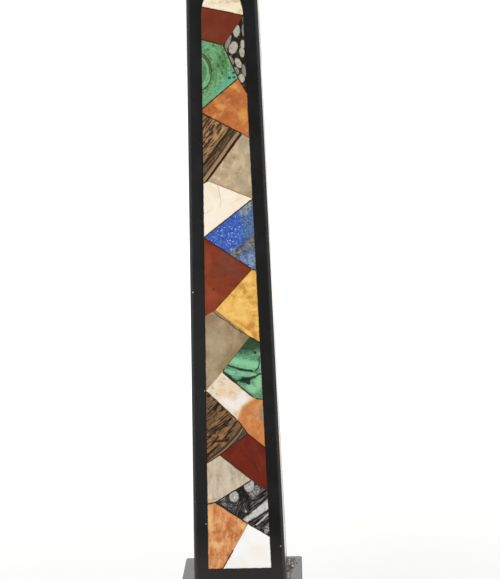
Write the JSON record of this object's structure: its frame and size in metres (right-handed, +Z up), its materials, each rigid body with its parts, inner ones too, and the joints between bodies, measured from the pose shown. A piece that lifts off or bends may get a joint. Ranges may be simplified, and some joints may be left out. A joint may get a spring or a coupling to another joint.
{
  "type": "desk obelisk",
  "caption": "Tapering square obelisk of polished black marble on a stepped pedestal, its faces inlaid with cut specimen stones; an ornament that stands on a desk or shelf.",
  "frame": {"origin": "middle of the pedestal's underside", "axes": "+Z up the shaft; -Y out of the front face; +X to the right as the front is seen"},
  "size_m": [0.0852, 0.0852, 0.441],
  "materials": {
    "black_marble": "polished",
    "cement": "matt",
    "white_marble": "polished",
    "red_marble": "polished",
    "fossil_limestone": "polished",
    "malachite": "polished",
    "orange_marble": "polished",
    "striped_brown": "polished",
    "grey_marble": "polished",
    "cream_marble": "polished",
    "lapis": "polished",
    "gold_marble": "polished"
  },
  "bodies": {
    "root": {"shaft": "black_marble", "pedestal_cap": "black_marble", "pedestal_die": "black_marble", "pedestal_step": "black_marble", "pedestal_foot": "black_marble", "front_cement": "cement", "right_cement": "cement", "back_cement": "cement", "left_cement": "cement", "white_crown": "white_marble", "red_upper": "red_marble", "fossil_upper": "fossil_limestone", "green_ringed": "malachite", "orange_upper": "orange_marble", "brown_upper": "striped_brown", "grey_upper": "grey_marble", "cream": "cream_marble", "blue": "lapis", "red_middle": "red_marble", "gold": "gold_marble", "dove": "grey_marble", "green_banded": "malachite", "rose_white": "white_marble", "orange_middle": "orange_marble", "brown_lower": "striped_brown", "red_lower": "red_marble", "ash": "grey_marble", "fossil_lower": "fossil_limestone", "orange_lower": "orange_marble", "white_foot": "white_marble", "other_white_stones": "white_marble", "other_red_stones": "red_marble", "other_fossil_stones": "fossil_limestone", "other_green_stones": "malachite", "other_orange_stones": "orange_marble", "other_brown_stones": "striped_brown", "other_grey_stones": "grey_marble", "other_cream_stones": "cream_marble", "other_blue_stones": "lapis", "other_gold_stones": "gold_marble"}
  },
  "joints": []
}
